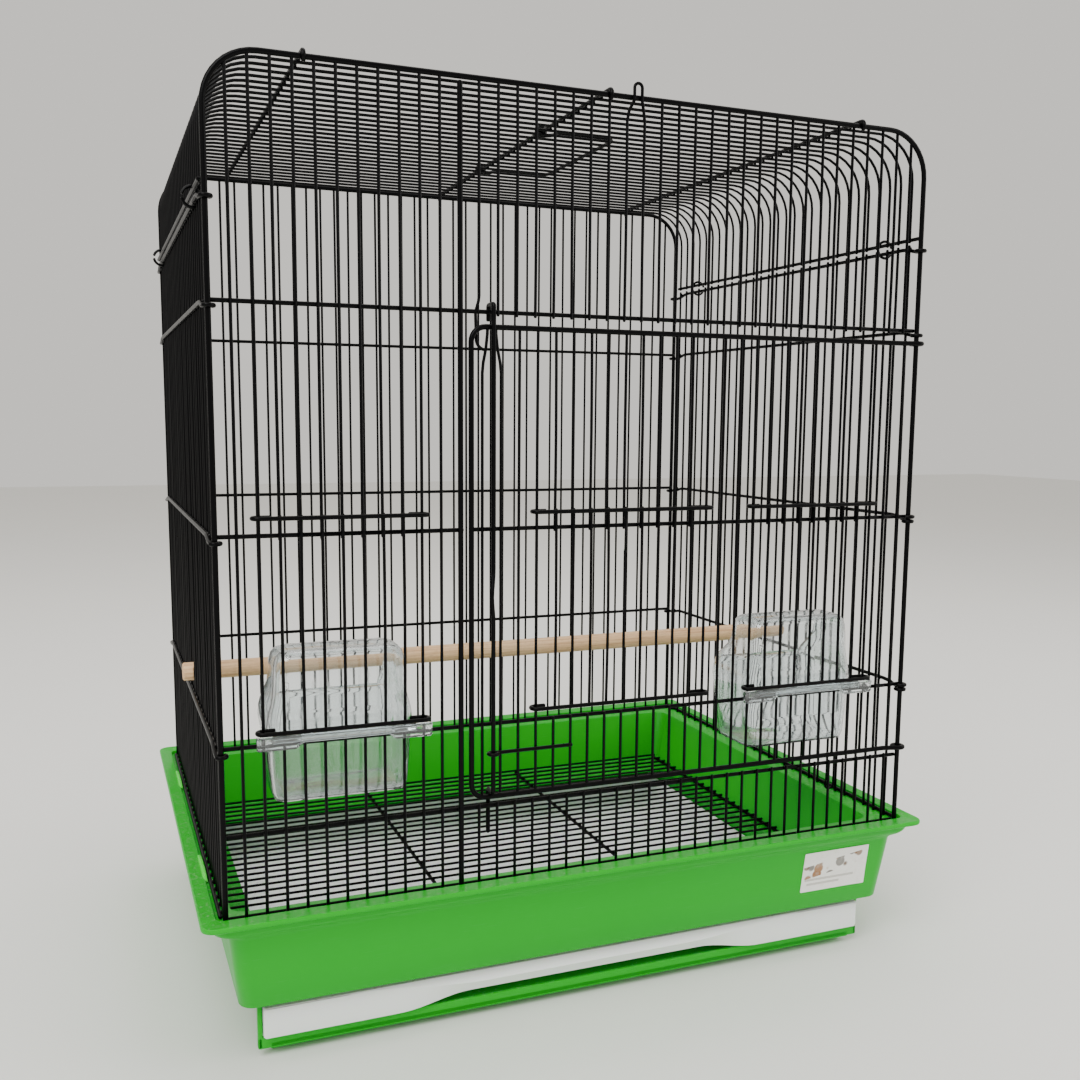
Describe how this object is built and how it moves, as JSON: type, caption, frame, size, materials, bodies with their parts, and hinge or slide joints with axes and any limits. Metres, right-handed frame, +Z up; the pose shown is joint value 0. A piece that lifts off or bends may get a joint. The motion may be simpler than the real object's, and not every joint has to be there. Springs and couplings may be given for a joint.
{
  "type": "bird cage",
  "caption": "Black wire bird cage with a rounded roof on a green base: swinging main door, lifting feeder doors, clear feeders, wooden perch and a pull-out white tray.",
  "frame": {"origin": "on the floor under the middle of the base", "axes": "+Z up, -Y towards the front with the main door and the tray, +X to the right seen from the front"},
  "size_m": [0.51, 0.392, 0.597],
  "materials": {
    "green_moulding": "injection-moulded polypropylene, satin gloss, bright green",
    "light_green_moulding": "injection-moulded polypropylene, lighter green",
    "white_moulding": "injection-moulded polypropylene, white",
    "black_wire": "steel wire, black powder coat, semi-gloss",
    "clear_moulding": "clear injection-moulded polystyrene",
    "perch_wood": "turned softwood dowel, raw",
    "label_film": "blank paper label with a faint abstract print"
  },
  "bodies": {
    "base": {"base_tub": "green_moulding", "base_plate": "green_moulding", "floor_grille": "black_wire", "snap_lugs": "light_green_moulding", "blank_label": "label_film"},
    "tray": {"slide_tray": "white_moulding"},
    "cage": {"front_frame": "black_wire", "front_uprights": "black_wire", "front_crossbars": "black_wire", "back_frame": "black_wire", "back_uprights": "black_wire", "back_crossbars": "black_wire", "left_side_wires": "black_wire", "left_side_bars": "black_wire", "right_side_wires": "black_wire", "right_side_bars": "black_wire", "roof_wires": "black_wire", "roof_bends": "black_wire", "roof_side_legs": "black_wire", "roof_edge_bars": "black_wire", "roof_rods": "black_wire", "joining_rings": "black_wire", "top_hook": "black_wire", "tub_clip": "black_wire", "perch": "perch_wood", "left_feeder": "clear_moulding"},
    "feeder_door_left": {"left_feeder_door": "black_wire"},
    "main_door": {"main_door_frame": "black_wire", "main_door_wires": "black_wire", "main_door_bars": "black_wire", "main_door_hinge_eyes": "black_wire", "latch_guide": "black_wire", "right_feeder": "clear_moulding"},
    "feeder_door_right": {"right_feeder_door": "black_wire"},
    "door_centre": {"centre_door": "black_wire"},
    "latch": {"latch_rod": "black_wire"},
    "handle": {"carry_handle": "black_wire"}
  },
  "joints": [
    {"name": "tray_slide", "type": "slide", "parent": "base", "child": "tray", "axis": [0, -1, 0], "range_m": [0, 0.3]},
    {"name": "cage_lift_off", "type": "slide", "parent": "base", "child": "cage", "axis": [0, 0, 1], "range_m": [0, 0.15]},
    {"name": "left_feeder_door_lift", "type": "slide", "parent": "cage", "child": "feeder_door_left", "axis": [0, 0, 1], "range_m": [0, 0.1]},
    {"name": "main_door_swing", "type": "hinge", "parent": "cage", "child": "main_door", "pos_m": [0.24, -0.18, 0.3], "axis": [0, 0, 1], "range_deg": [0, 180]},
    {"name": "right_feeder_door_lift", "type": "slide", "parent": "main_door", "child": "feeder_door_right", "axis": [0, 0, 1], "range_m": [0, 0.1]},
    {"name": "centre_door_lift", "type": "slide", "parent": "main_door", "child": "door_centre", "axis": [0, 0, 1], "range_m": [0, 0.1]},
    {"name": "latch_lift", "type": "slide", "parent": "main_door", "child": "latch", "axis": [0, 0, 1], "range_m": [0, 0.022]},
    {"name": "handle_fold", "type": "hinge", "parent": "cage", "child": "handle", "pos_m": [0, 0, 0.5911], "axis": [0, -1, 0], "range_deg": [0, 180]}
  ]
}
